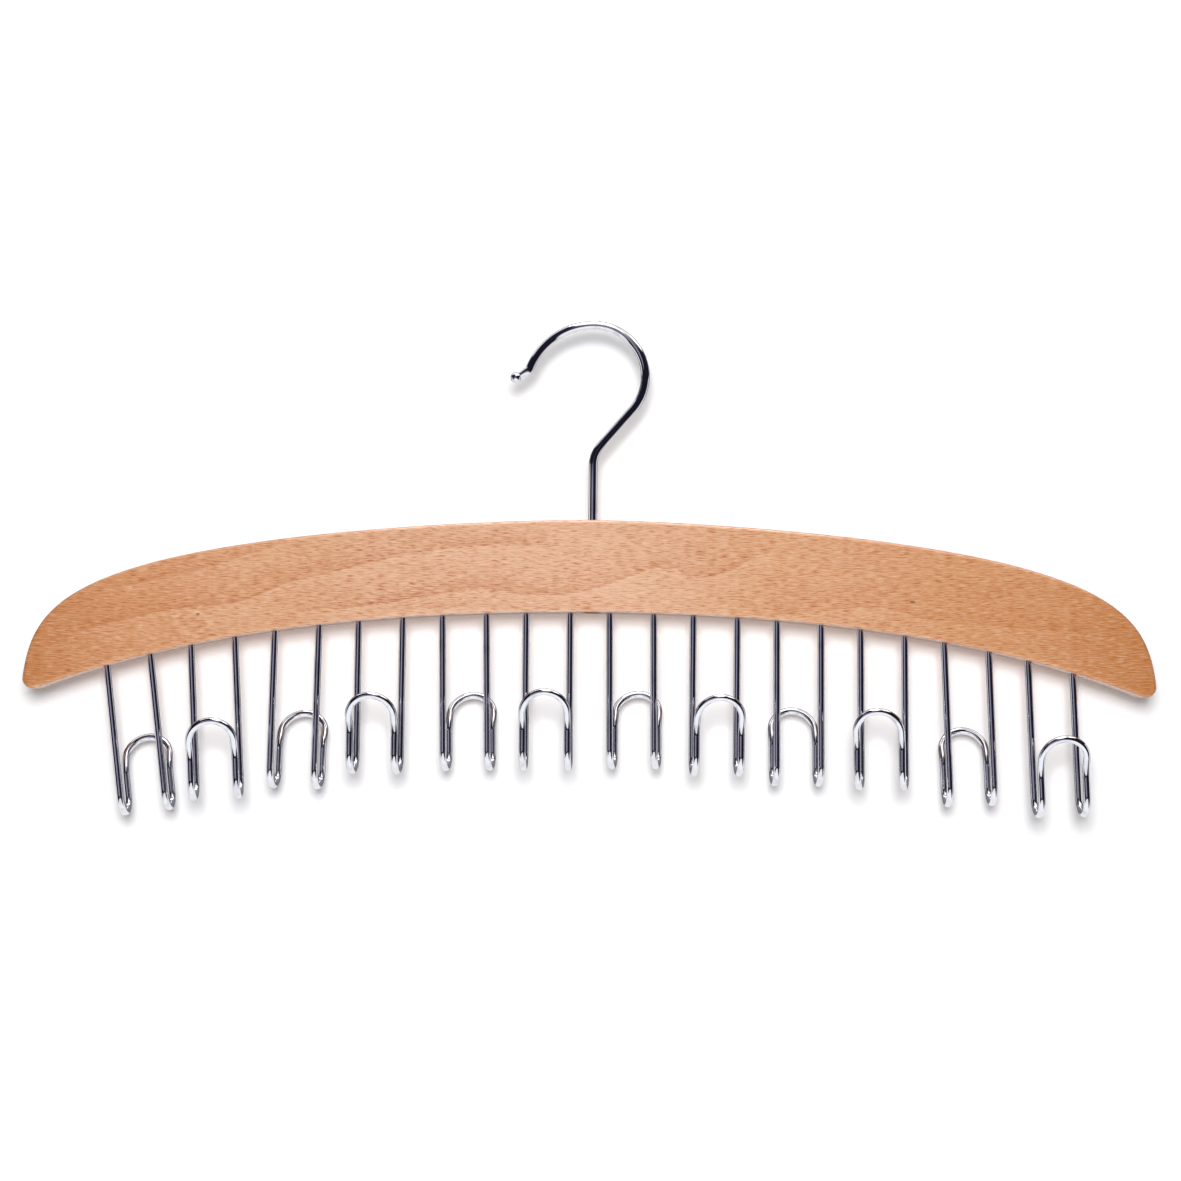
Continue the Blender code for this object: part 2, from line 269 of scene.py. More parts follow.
# %% Sizes of the board
BOARD_SPAN = 0.4388
BOARD_HEIGHT = 0.0359
BOARD_THICKNESS = 0.012
BOARD_TOP = -0.075977
SHOULDER_HEIGHT = 0.1073
ARCH_POWER = 1.574
SHOULDER_POWER = 6
UNDERSIDE_RISE = 0.0335
QUARTIC_SHARE = 0.32
CORNER_RADIUS = 0.004
CORNER_STEP_DEG = 1.0
EDGE_ROUND = 0.0015
BORE_OFFSET = 0.0008
HALF_SPAN = BOARD_SPAN / 2
DENSE_POINTS = 4001
CORNER_PASSES = 6
HALF_POINTS = 320
EDGE_STEPS = 7
FACE_ROWS = 8
RIM_STRIP = 0.0002


def underside_height(x):
    """Height of the hollowed lower edge: top - height - rise * (part * u^2 + part * u^4)."""
    u = np.abs(x) / HALF_SPAN
    hollow = (1 - QUARTIC_SHARE) * u ** 2 + QUARTIC_SHARE * u ** 4
    return BOARD_TOP - BOARD_HEIGHT - UNDERSIDE_RISE * hollow


def top_edge_reach(z):
    """Distance of the top edge from the middle: half span * (1 - share^6)^(1 / power)."""
    share = 1 - (BOARD_TOP - z) / SHOULDER_HEIGHT
    return HALF_SPAN * (1 - share ** SHOULDER_POWER) ** (1 / ARCH_POWER)


def lower_corner():
    """Where the side would meet the underside if the corner were sharp."""
    x = HALF_SPAN
    for _ in range(CORNER_PASSES):
        x = top_edge_reach(underside_height(x))
    return np.array((x, underside_height(x)))


def corner_arc():
    """The rounded lower right corner: start on the side, points of the arc, end on the underside."""
    corner = lower_corner()
    above = corner[1] + CORNER_RADIUS
    inward = corner[0] - CORNER_RADIUS
    up_side = unit(np.array((top_edge_reach(above), above)) - corner)
    along = unit(np.array((inward, underside_height(inward))) - corner)
    half_angle = math.acos(float(up_side @ along)) / 2
    side_end = corner + up_side * CORNER_RADIUS / math.tan(half_angle)
    centre = corner + unit(up_side + along) * CORNER_RADIUS / math.sin(half_angle)
    start = math.degrees(math.atan2(*(side_end - centre)[::-1]))
    end = start - 180 + math.degrees(2 * half_angle)
    return side_end, arc(centre, CORNER_RADIUS, start, end, CORNER_STEP_DEG)


def evenly(curve, count):
    """The curve again, with its points an equal length of edge apart."""
    length = np.append(0.0, np.cumsum(np.hypot(*np.diff(curve, axis=0).T)))
    marks = np.linspace(0.0, length[-1], count)
    return np.column_stack([np.interp(marks, length, curve[:, axis]) for axis in range(2)])


def mirrored(curve):
    """A right half as the left half."""
    return curve * np.array((-1.0, 1.0))


def board_halves():
    """The outline from corner to corner, left to right: over the top, and along the underside."""
    side_end, rounded = corner_arc()
    middle = len(rounded) // 2
    lowest = 1 - (BOARD_TOP - side_end[1]) / SHOULDER_HEIGHT
    share = 1 - (1 - lowest) * np.linspace(0.0, 1.0, DENSE_POINTS) ** 2
    heights = BOARD_TOP - SHOULDER_HEIGHT * (1 - share)
    right_top = np.vstack((np.column_stack((top_edge_reach(heights), heights)), rounded[:middle]))
    across = np.linspace(rounded[-1][0], -rounded[-1][0], DENSE_POINTS)
    hollow = np.column_stack((across, underside_height(across)))
    corner = rounded[middle - 1:-1]
    bottom = np.vstack((corner, hollow, mirrored(corner)[::-1]))
    top = np.vstack((mirrored(right_top)[:0:-1], right_top))
    shift = np.array((BORE_OFFSET, 0.0))
    return evenly(top, HALF_POINTS) - shift, evenly(bottom[::-1], HALF_POINTS) - shift


board_top, board_bottom = board_halves()
outline_box = np.array((board_top.min(axis=0), board_top.max(axis=0))) / MM
print("board outline, mm:", np.round(outline_box, 1).tolist())

# %% [markdown]
# ## The board's body
# A router rounds both edges by 1.5 mm all the way round. A Bevel modifier could do that, but
# here the edge is a surface of two parameters, place along the outline and step around the
# edge, so that the light runs along it without facets. The flat faces are ruled between the two
# halves of the outline. The holes are drilled afterwards, as in the workshop.

# %% Build the blank
def loop_of(top, bottom):
    """One closed outline: back along the underside, then over the top."""
    return np.vstack((top[:-1], bottom[:0:-1]))


def outward(loop):
    """Unit normals of a closed loop that runs clockwise, seen from the front."""
    ahead = np.roll(loop, -1, axis=0) - np.roll(loop, 1, axis=0)
    return unit(np.column_stack((-ahead[:, 1], ahead[:, 0])))


def edge_profile():
    """Inset from the outline and depth y, from the front face's rim to the back face's.

    Each rounded edge is a quarter circle: inset = r - r * sin(a), depth = r - r * cos(a).
    """
    angle = np.linspace(0.0, math.pi / 2, EDGE_STEPS + 1)
    inset = EDGE_ROUND * (1 - np.sin(angle))
    depth = EDGE_ROUND * (1 - np.cos(angle)) - BOARD_THICKNESS / 2
    inset = np.append(inset[0] + RIM_STRIP, inset)
    depth = np.append(depth[0], depth)
    return np.append(inset, inset[::-1]), np.append(depth, -depth[::-1])


def face_grid(loop, depth):
    """Points of a flat face between the halves of its rim: (1 - v) * bottom + v * top."""
    top = loop[:HALF_POINTS]
    bottom = np.vstack((loop[:1], loop[:HALF_POINTS - 2:-1]))
    v = np.linspace(0.0, 1.0, FACE_ROWS + 1)[1:-1, None, None]
    inner = ((1 - v) * bottom + v * top)[:, 1:-1]
    return np.insert(inner.reshape(-1, 2), 1, depth, axis=1)


def face_quads(rim, first_inner, facing):
    """Faces of a flat side, turned over where facing is -1.

    rim holds the vertex numbers round it, and the points inside count from first_inner.
    """
    inside = HALF_POINTS - 2
    inner = np.arange(FACE_ROWS - 1)[:, None] * inside + np.arange(inside) + first_inner
    top = rim[:HALF_POINTS]
    bottom = np.append(rim[:1], rim[:HALF_POINTS - 2:-1])
    table = np.vstack([bottom[1:-1], inner, top[1:-1]])
    corners = (table[:-1, :-1], table[:-1, 1:], table[1:, 1:], table[1:, :-1])
    quads = np.stack(corners, axis=-1).reshape(-1, 4)
    left_end = np.full(FACE_ROWS, rim[0])
    right_end = np.full(FACE_ROWS, rim[HALF_POINTS - 1])
    left = np.stack((left_end, table[:-1, 0], table[1:, 0]), axis=-1)
    right = np.stack((table[:-1, -1], right_end, table[1:, -1]), axis=-1)
    return [face[::facing] for face in quads.tolist() + left.tolist() + right.tolist()]


def board_blank():
    """The rounded edge carried round the outline, with both flat faces filled."""
    loop = loop_of(board_top, board_bottom)
    inset, depth = edge_profile()
    flat = loop - inset[:, None, None] * outward(loop)
    rims = np.insert(flat, 1, depth[:, None], axis=2)
    count = len(loop)
    edge = [face[::-1] for face in ring_faces(len(inset), count)]
    front = face_grid(flat[0], depth[0])
    back = face_grid(flat[-1], depth[-1])
    vertices = np.vstack((rims.reshape(-1, 3), front, back))
    first = len(inset) * count
    faces = edge + face_quads(np.arange(count), first, 1)
    faces += face_quads(np.arange(count) + first - count, first + len(front), -1)
    return add_object("beech_board", vertices, faces)


board = board_blank()
print("blank:", len(board.data.vertices), "vertices")

# %% [markdown]
# ## Where the wires go in
# Each belt hook is pushed into two blind holes. The swivelling hook comes up through a bore, and
# its swollen lower end turns under a washer in a wider hole drilled from below. The holes are
# real, so a drill is built for each and a Boolean takes them all away at once.

# %% Sizes of the wires and their holes
HOOK_WIRE = 0.0034
WASHER_DIAMETER = 0.0074
WASHER_THICKNESS = 0.001
COUNTERBORE_DEPTH = 0.010
HEAD_DIAMETER = 0.0056
HEAD_THICKNESS = 0.0015
HEAD_ROUND = 0.0003
BELT_WIRE = 0.0027
BELT_HOOK_COUNT = 12
END_MARGIN = 0.0404
HOOK_GAP = 0.0154
SHANK_LENGTH = 0.053
THROAT_DEPTH = 0.013
LEG_LENGTH = 0.0067
FLARE_RADIUS = 0.012
FLARE_DEG = 27.7
FLARE_LENGTH = 0.0023
SEAT_DEPTH = 0.012
SWING_DEG = (7.4, 3.5, -0.8, -0.1, 1.0, 0.2, 0.4, -0.3, 0.0, 0.1, 1.9, 2.0)
SKEW_DEG = (1.0, 2.7, 6.0, -5.3, 6.7, -2.9, 9.0, 3.9, -3.1, -13.9, 0.1, 0.8)
DRAWN_SHARES = (
    -0.026, 0.007, 0.026, -0.019, -0.007, 0.007, -0.007, 0.018, 0.046, 0.0, 0.016, -0.06,
)
CLEARANCE = 0.0003
CUT_OVERRUN = 0.005
HOOK_PITCH = (BOARD_SPAN - 2 * END_MARGIN) / (BELT_HOOK_COUNT - 1)
SHANK_SPACING = HOOK_PITCH - HOOK_GAP
DRILL_SIDES = 32

ceiling = underside_height(BORE_OFFSET) + COUNTERBORE_DEPTH
washer_top = ceiling - CLEARANCE
washer_bottom = washer_top - WASHER_THICKNESS
head_top = washer_bottom - CLEARANCE
head_bottom = head_top - HEAD_THICKNESS


def seat(index):
    """A belt hook's own frame: 4 x 4, its origin on the underside, swung about Y by its lean."""
    x = (index - (BELT_HOOK_COUNT - 1) / 2) * HOOK_PITCH
    place = Matrix.Translation((x - BORE_OFFSET, 0.0, float(underside_height(x))))
    return np.array(place @ Matrix.Rotation(-math.radians(SWING_DEG[index]), 4, "Y"))


def placed(points, place):
    """Points times a 4 x 4 matrix."""
    return points @ place[:3, :3].T + place[:3, 3]


def drill(steps, place):
    """A straight drill up Z. Each step is (radius, height)."""
    steps = np.array(steps)
    path = np.column_stack((np.zeros((len(steps), 2)), steps[:, 1]))
    up = np.tile((0.0, 0.0, 1.0), (len(steps), 1))
    rings = sweep(path, steps[:, 0], DRILL_SIDES, np.array((1.0, 0.0, 0.0)), along=up)
    vertices, faces = shell(rings)
    return placed(vertices, place), faces


def stem_drill():
    """The bore for the stem, wider below for the washer."""
    bore = HOOK_WIRE / 2 + CLEARANCE
    wide = WASHER_DIAMETER / 2 + CLEARANCE
    bottom = ceiling - COUNTERBORE_DEPTH - CUT_OVERRUN
    steps = [(wide, bottom), (wide, ceiling), (bore, ceiling), (bore, BOARD_TOP + CUT_OVERRUN)]
    return drill(steps, np.eye(4))


def shank_drill(index, side):
    """A blind hole for one shank, along the lean of its hook."""
    radius = BELT_WIRE / 2 + CLEARANCE
    deep = SEAT_DEPTH - DRAWN_SHARES[index] * SHANK_LENGTH + CLEARANCE
    across = np.eye(4)
    across[0, 3] = side * SHANK_SPACING / 2
    return drill([(radius, -CUT_OVERRUN), (radius, deep)], seat(index) @ across)


def together(shells):
    """Several shells as one list of vertices and faces."""
    vertices = np.vstack([points for points, _ in shells])
    starts = np.cumsum([0] + [len(points) for points, _ in shells])
    faces = [[start + i for i in face] for start, (_, part) in zip(starts, shells) for face in part]
    return vertices, faces


def drill_board(piece):
    """Take every drill away from the board, and keep the result as its mesh."""
    shells = [stem_drill()]
    shells += [shank_drill(index, side) for index in range(BELT_HOOK_COUNT) for side in (-1, 1)]
    drills = add_object("drills", *together(shells))
    cut = piece.modifiers.new("holes", "BOOLEAN")
    cut.operation = "DIFFERENCE"
    cut.solver = "EXACT"
    cut.object = drills
    cut_piece = piece.evaluated_get(bpy.context.evaluated_depsgraph_get())
    drilled = bpy.data.meshes.new_from_object(cut_piece)
    piece.modifiers.remove(cut)
    piece.data = drilled
    bpy.data.objects.remove(drills)


drill_board(board)
shade(board)
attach(board, "hanger")
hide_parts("board")
print("board:", len(board.data.polygons), "faces after drilling")

# %% [markdown]
# ## Beech under satin varnish
# Beech is pale and pinkish. Here its base colour is set paler in the middle of the board and darker amber
# towards the ends. It has short dark flecks that lie along the grain, soft growth lines that are dark on
# one side and pale on the other, and a small swirl where a branch began. A photograph of wood would be
# the quick way. A solid pattern on the board's own coordinates is used instead: it runs through the edges
# as in real wood.

# %% Colours of the beech
BEECH_PALE = srgb(224, 177, 144)
BEECH_MID = srgb(220, 167, 128)
BEECH_WARM = srgb(214, 154, 108)
BEECH_AMBER = srgb(199, 132, 78)
BEECH_DARK = srgb(176, 96, 44)
BEECH_LIGHT = srgb(246, 214, 188)
PITH = srgb(112, 58, 28)
GRAIN_BOX = (-0.222, 0.222, -0.152, -0.072)
# Base colour by place along the board: paler in the middle, darker amber towards both ends.
ALONG_BOARD = (
    (0.0, BEECH_AMBER), (0.10, BEECH_WARM), (0.21, BEECH_MID), (0.36, BEECH_PALE),
    (0.52, BEECH_PALE), (0.68, BEECH_MID), (0.87, BEECH_WARM), (1.0, BEECH_AMBER),
)


def share_of(wood, value, low, high):
    """Where a value lies between two limits, as a share."""
    return wood.math("DIVIDE", wood.math("SUBTRACT", value, low), high - low)


def centred(wood, noise):
    """Noise moved from 0 to 1 to -0.5 to 0.5."""
    return wood.math("SUBTRACT", noise, 0.5)


print("beech box, mm:", np.round(np.array(GRAIN_BOX) / MM, 1).tolist())

# %% [markdown]
# ## Growth lines
# A year's growth ends in a darker line, and where a plank is sawn flat these lines wander along it
# in long curves. Rings of a wave texture would give evenly spaced ones. Each line here is a Float
# Curve, a height for every place along the board, so that it can lie where the real one does.

# %% Growth lines
GROWTH_LINES = (
    (0.55, ((-198, -107.1), (-171, -101.1), (-153, -97.1), (-126, -88.3), (-113, -84.3))),
    (0.80, (
        (-205, -123.0), (-178, -115.9), (-159, -111.9), (-139, -109.8), (-118, -101.8),
        (-93, -95.4), (-63, -88.9), (-36, -86.4), (-13, -87.3),
    )),
    (0.85, (
        (-120, -113.0), (-85, -110.1), (-66, -106.8), (-42, -103.9), (-23, -105.7), (-2, -103.6),
        (16, -97.6), (29, -94.4), (39, -98.2), (52, -96.1), (62, -90.6), (76, -85.4),
    )),
    (0.45, (
        (57, -113.5), (73, -112.6), (89, -111.3), (105, -109.3), (121, -111.9),
        (137, -114.8), (158, -116.6), (188, -118.3), (203, -119.7),
    )),
    (0.55, ((-90, -113.6), (-55, -110.6), (-28, -111.2), (-5, -111.4), (10, -112.5))),
)
LINE_EDGE = 0.3 * MM
DARK_REACH = 5 * MM
PALE_REACH = 3 * MM
PALE_SIDE = 0.6
LINE_END = 18 * MM


def line_height(wood, x, spread):
    """Height of a growth line at x: a smooth curve through its points, scaled to the grain box."""
    left, right, low, high = GRAIN_BOX
    curve = wood.add("ShaderNodeFloatCurve")
    spots = curve.mapping.curves[0].points
    shares = (spread - (left, low)) / (right - left, high - low)
    while len(spots) < len(shares):
        spots.new(0.5, 0.5)
    for spot, share in zip(spots, shares):
        spot.location = share
        spot.handle_type = "AUTO"
    curve.mapping.update()
    wood.plug(curve.inputs["Value"], share_of(wood, x, left, right))
    return wood.math("MULTIPLY_ADD", curve.outputs[0], high - low, low)


def growth_line(wood, x, z, strength, points):
    """Tone of one growth line: darker just above its curve, paler just below, fading to both sides.

    Tone = strength * (below * 0.6 * e^(d / 3 mm) - above * e^(-d / 5 mm)), with d the height over
    the curve.
    """
    spread = np.array(points) * MM
    over = wood.math("SUBTRACT", z, line_height(wood, x, spread))
    above = wood.fade(over, -LINE_EDGE, LINE_EDGE)
    below = wood.math("SUBTRACT", 1.0, above)
    dark = wood.math("MULTIPLY", above, wood.math("EXPONENT", wood.math("DIVIDE", over, -DARK_REACH)))
    pale = wood.math("MULTIPLY", below, wood.math("EXPONENT", wood.math("DIVIDE", over, PALE_REACH)))
    tone = wood.math("MULTIPLY_ADD", pale, PALE_SIDE, wood.math("MULTIPLY", dark, -1.0))
    start, end = spread[0, 0], spread[-1, 0]
    begins = wood.fade(x, start, start + LINE_END)
    stops = wood.fade(x, end, end - LINE_END)
    ends = wood.math("MULTIPLY", begins, stops)
    return wood.math("MULTIPLY", tone, wood.math("MULTIPLY", ends, strength))


print("growth lines:", len(GROWTH_LINES))

# %% Knot and pith
KNOT = (-0.1539, -0.1178)
KNOT_REACH = (0.0085, 0.0062)
KNOT_SWIRL_CELL = (0.006, 0.01, 0.004)
KNOT_SWIRL = (7.0 * MM, -5.0 * MM)
KNOT_BREAK_CELL = (0.003, 0.01, 0.002)
KNOT_RINGS = 8.5
KNOT_TONE = 0.62
PITH_SPOTS = ((-0.1522, -0.1140, 0.0009, 0.0005), (0.1239, -0.1071, 0.0013, 0.0006))
PITH_TONE = 0.7


def oval_distance(wood, x, z, centre, reach):
    """Distance from a centre, as a share of an oval's half axes."""
    across = wood.math("DIVIDE", wood.math("SUBTRACT", x, centre[0]), reach[0])
    up = wood.math("DIVIDE", wood.math("SUBTRACT", z, centre[1]), reach[1])
    squares = wood.math("ADD", wood.math("MULTIPLY", across, across), wood.math("MULTIPLY", up, up))
    return wood.math("SQRT", squares)


def knot_tone(wood, x, z):
    """Rings of a covered branch, dying out at the rim.

    Tone = cos(8.5 * oval distance), with x and z bent and the rings broken by noise.
    """
    swirl = centred(wood, wood.noise(wood.scaled(wood.place, KNOT_SWIRL_CELL), 2.0))
    x = wood.math("MULTIPLY_ADD", swirl, KNOT_SWIRL[0], x)
    z = wood.math("MULTIPLY_ADD", swirl, KNOT_SWIRL[1], z)
    reach = oval_distance(wood, x, z, KNOT, KNOT_REACH)
    rings = wood.math("COSINE", wood.math("MULTIPLY", reach, KNOT_RINGS))
    broken = wood.fade(wood.noise(wood.scaled(wood.place, KNOT_BREAK_CELL), 1.0), 0.35, 0.60, 0.3, 1.0)
    rings = wood.math("MULTIPLY", rings, broken)
    return wood.math("MULTIPLY", rings, wood.fade(reach, 1.35, 0.85, 0.0, KNOT_TONE))


def pith_share(wood, x, z):
    """Small dark eyes of buds, each an oval with a soft rim."""
    ovals = [oval_distance(wood, x, z, spot[:2], spot[2:]) for spot in PITH_SPOTS]
    spots = [wood.fade(oval, 1.1, 0.55) for oval in ovals]
    return wood.math("MULTIPLY", wood.total(spots), PITH_TONE, clamp=True)


print("knot at", KNOT, "and", len(PITH_SPOTS), "pith spots")

# %% [markdown]
# ## Fibres, flecks and varnish
# Seen close, beech is a felt of fine fibres with short flecks where its rays are cut. One noise
# stretched along the grain makes the fibres and a sparser one the flecks. All of these darken or
# lighten one base colour, and a clear coat over them gives the satin shine.

# %% Beech
WANDER_CELL = (0.030, 0.05, 0.009)
WANDER = 2.4 * MM
FRAY_CELL = (0.0050, 0.006, 0.0010)
FRAY = (7.0 * MM, 4.2 * MM)
CLOUD_CELL = (0.026, 0.03, 0.0048)
CLOUD_TONE = 1.3
SLOW_TONE = 0.36
FIBRE_CELL = (0.0044, 0.003, 0.00032)
FIBRE_TONE = 2.7
FLECK_CELL = (0.0040, 0.003, 0.00038)
FLECK_EDGE = (0.52, 0.70)
FLECK_TONE = 0.58
RAY_CELL = (0.0034, 0.004, 0.0009)
RAY_TONE = 0.16
LIGHT_TONE = 0.75
GRAIN_RELIEF = 0.006 * MM


def slow_tone(wood, grain, x, z):
    """Growth lines, soft clouds and the knot added up, on coordinates that noise has frayed.

    Above 0 it lightens the wood and below 0 it darkens it.
    """
    fray = centred(wood, wood.noise(wood.scaled(wood.place, FRAY_CELL), 3.0, 0.65))
    x = wood.math("MULTIPLY_ADD", fray, FRAY[0], x)
    z = wood.math("MULTIPLY_ADD", fray, FRAY[1], z)
    tones = [growth_line(wood, x, z, strength, points) for strength, points in GROWTH_LINES]
    cloud = centred(wood, wood.noise(wood.scaled(grain, CLOUD_CELL), 3.0, 0.6))
    tones.append(wood.math("MULTIPLY", cloud, CLOUD_TONE))
    tones.append(knot_tone(wood, x, z))
    return wood.total(tones)


def ray_marks(wood, grain):
    """Small lens-shaped marks about scattered points, on those points whose chance is high."""
    distance, chance = wood.cells(wood.scaled(grain, RAY_CELL))
    return wood.math("MULTIPLY", wood.fade(distance, 0.42, 0.12), wood.fade(chance, 0.55, 0.7))


def make_beech():
    """The base colour along the board, darkened and lightened by its marks, under a thin coat.

    Darkness = flecks * 0.58 - slow tone * 0.36 + rays * 0.16 + (0.5 - fibres) * 2.7. Above 0 it mixes
    in dark beech, and below 0 light beech.
    """
    wood = Finish("satin_beech")
    x, y, z = wood.axes(wood.place)
    wander = centred(wood, wood.noise(wood.scaled(wood.place, WANDER_CELL), 2.0))
    grain = wood.vector(x, y, wood.math("MULTIPLY_ADD", wander, WANDER, z))
    fibres = wood.noise(wood.scaled(grain, FIBRE_CELL), 2.0, 0.55)
    flecks = wood.fade(wood.noise(wood.scaled(grain, FLECK_CELL), 1.0, 0.5), *FLECK_EDGE)

    darker = wood.math("MULTIPLY", flecks, FLECK_TONE)
    darker = wood.math("MULTIPLY_ADD", slow_tone(wood, grain, x, z), -SLOW_TONE, darker)
    darker = wood.math("MULTIPLY_ADD", ray_marks(wood, grain), RAY_TONE, darker)
    darker = wood.math("MULTIPLY_ADD", wood.math("SUBTRACT", 0.5, fibres), FIBRE_TONE, darker)
    colour = wood.ramp(share_of(wood, x, *GRAIN_BOX[:2]), ALONG_BOARD)
    colour = wood.mix(wood.math("MAXIMUM", darker, 0.0, clamp=True), colour, BEECH_DARK)
    colour = wood.mix(wood.math("MULTIPLY", darker, -LIGHT_TONE, clamp=True), colour, BEECH_LIGHT)
    colour = wood.mix(pith_share(wood, x, z), colour, PITH)

    height = wood.math("MULTIPLY_ADD", fibres, 0.5, wood.math("MULTIPLY", flecks, -0.5))
    wood.set(Base_Color=colour, Roughness=wood.fade(fibres, 0.2, 0.8, 0.46, 0.34))
    wood.set(Normal=wood.bump(height, GRAIN_RELIEF))
    wood.set(Coat_Weight=0.8, Coat_Roughness=0.14, Coat_IOR=1.5)
    return wood.material


beech = make_beech()
board.data.materials.clear()
board.data.materials.append(beech)
print("beech nodes:", len(beech.node_tree.nodes))

# %% [markdown]
# ## The swivelling hook
# One 3.4 mm wire: a swollen head below, a straight stem, a slant, the round crown that hangs on
# the rod, a longer curve out to the mouth, and a turned-out tip that ends in a small ball. It
# could be a bevelled Bezier curve. A swept profile is used instead, because the head, the neck and
# the ball are then only changes of the radius along one path.

# %% The swivelling hook
CROWN_RADIUS = 0.0202
STEM_BEND_RADIUS = 0.012
SLANT_DEG = 40.8
MOUTH_RADIUS = 0.0269
MOUTH_DEG = 69.0
TIP_BEND_RADIUS = 0.0025
TIP_BEND_DEG = 39.5
TIP_NECK = 0.0034
TIP_NECK_WIRE = 0.0024
TIP_BALL = 0.0042
HOOK_SIDES = 48
STEM_STEPS = 12
CROWN_STEP_DEG = 1.5
HEAD_STEPS = 5
NECK_STEPS = 8
BALL_STEPS = 22
CROWN_DROP = CROWN_RADIUS - HOOK_WIRE / 2


def hook_line():
    """The centreline as (x, z): stem, bend, slant, crown, mouth and tip bend, all tangent."""
    slant = math.radians(SLANT_DEG)
    bend_z = -CROWN_DROP - (CROWN_RADIUS + STEM_BEND_RADIUS * (1 - math.cos(slant))) / math.sin(slant)
    stem = np.column_stack((np.zeros(STEM_STEPS), np.linspace(head_top, bend_z, STEM_STEPS)))
    bend = arc((STEM_BEND_RADIUS, bend_z), STEM_BEND_RADIUS, 180.0, 180.0 - SLANT_DEG)
    crown = arc((0.0, -CROWN_DROP), CROWN_RADIUS, -SLANT_DEG, 90.0, CROWN_STEP_DEG)
    slant_end = np.array((math.cos(slant), -math.sin(slant))) * CROWN_RADIUS
    slant_end = slant_end - np.array((0.0, CROWN_DROP))
    mouth_centre = (0.0, HOOK_WIRE / 2 - MOUTH_RADIUS)
    mouth = arc(mouth_centre, MOUTH_RADIUS, 90.0, 90.0 + MOUTH_DEG, CROWN_STEP_DEG)
    out = math.radians(90.0 + MOUTH_DEG)
    tip = mouth[-1] + TIP_BEND_RADIUS * np.array((math.cos(out), math.sin(out)))
    turn = arc(tip, TIP_BEND_RADIUS, MOUTH_DEG - 90.0, MOUTH_DEG - 90.0 - TIP_BEND_DEG)
    return np.vstack((stem, bend, slant_end, crown, mouth, turn))


def head_rings():
    """Radius and height of the head's rings: flat below and above, with quarter-round rims.

    Rim point = (head / 2 - r * (1 - sin(a)), r * (1 - cos(a))), once from below and once from above.
    """
    lift = np.linspace(0.0, math.pi / 2, HEAD_STEPS)
    radius = HEAD_DIAMETER / 2 - HEAD_ROUND * (1 - np.sin(lift))
    rim = np.column_stack((radius, HEAD_ROUND * (1 - np.cos(lift))))
    return np.vstack((rim + (0.0, head_bottom), rim[::-1] * (1.0, -1.0) + (0.0, head_top)))


def tip_rings(line_end):
    """Path, radii and far point of the tip: a neck that narrows smoothly, then the ball.

    On the ball the radius is ball * sin(angle) at centre - heading * ball * cos(angle).
    """
    wire, ball, neck = HOOK_WIRE / 2, TIP_BALL / 2, TIP_NECK_WIRE / 2
    out = math.radians(180.0 + MOUTH_DEG - TIP_BEND_DEG)
    heading = np.array((math.cos(out), math.sin(out)))
    share = np.linspace(0.0, 1.0, NECK_STEPS)[1:-1]
    neck_line = line_end + heading * TIP_NECK * share[:, None]
    neck_radii = wire + (neck - wire) * share ** 2 * (3 - 2 * share)
    start = math.asin(neck / ball)
    angle = np.linspace(start, math.pi, BALL_STEPS)[:-1]
    centre = line_end + heading * (TIP_NECK + ball * math.cos(start))
    ball_line = centre - heading * ball * np.cos(angle)[:, None]
    radii = np.concatenate((neck_radii, ball * np.sin(angle)))
    return np.vstack((neck_line, ball_line)), radii, centre + heading * ball


def upright(flat):
    """Points (x, z) as points (x, 0, z)."""
    return np.insert(flat, 1, 0.0, axis=-1)


def make_swivel_hook():
    """Head, wire and tip swept as one, the last pole set on the ball's far point."""
    line = hook_line()
    head = head_rings()
    tip_line, tip_radii, far_point = tip_rings(line[-1])
    head_line = np.column_stack((np.zeros(len(head)), head[:, 1]))
    path = upright(np.vstack((head_line, line, tip_line)))
    radii = np.concatenate((head[:, 0], np.full(len(line), HOOK_WIRE / 2), tip_radii))
    forward = headings(path)
    forward[:len(head) + 1] = (0.0, 0.0, 1.0)
    rings = sweep(path, radii, HOOK_SIDES, np.array((0.0, 1.0, 0.0)), along=forward)
    vertices, faces = shell(rings)
    vertices[-1] = upright(far_point)
    piece = add_object("rod_hook_wire", vertices, faces)
    shade(piece)
    return piece


rod_hook = make_swivel_hook()
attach(rod_hook, "rod_hook")
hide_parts("swivel_hook")
print("rod hook:", len(rod_hook.data.vertices), "vertices")

# %% [markdown]
# ## The belt hooks
# Each is one 2.7 mm wire with two shanks, two round feet and an arch. From the left, the odd ones
# turn up behind the board and the even ones in front, and each arch flares away from the shanks.
# They were bent and set by hand, so each leans, twists and reaches a little its own way. Twelve
# copies of one mesh would look machine-made, so each is swept along its own path.

# %% The belt hooks
BELT_SIDES = 32
SHANK_STEPS = 10
BEND_STEP_DEG = 5.0
FLARE_STEP_DEG = 4.0


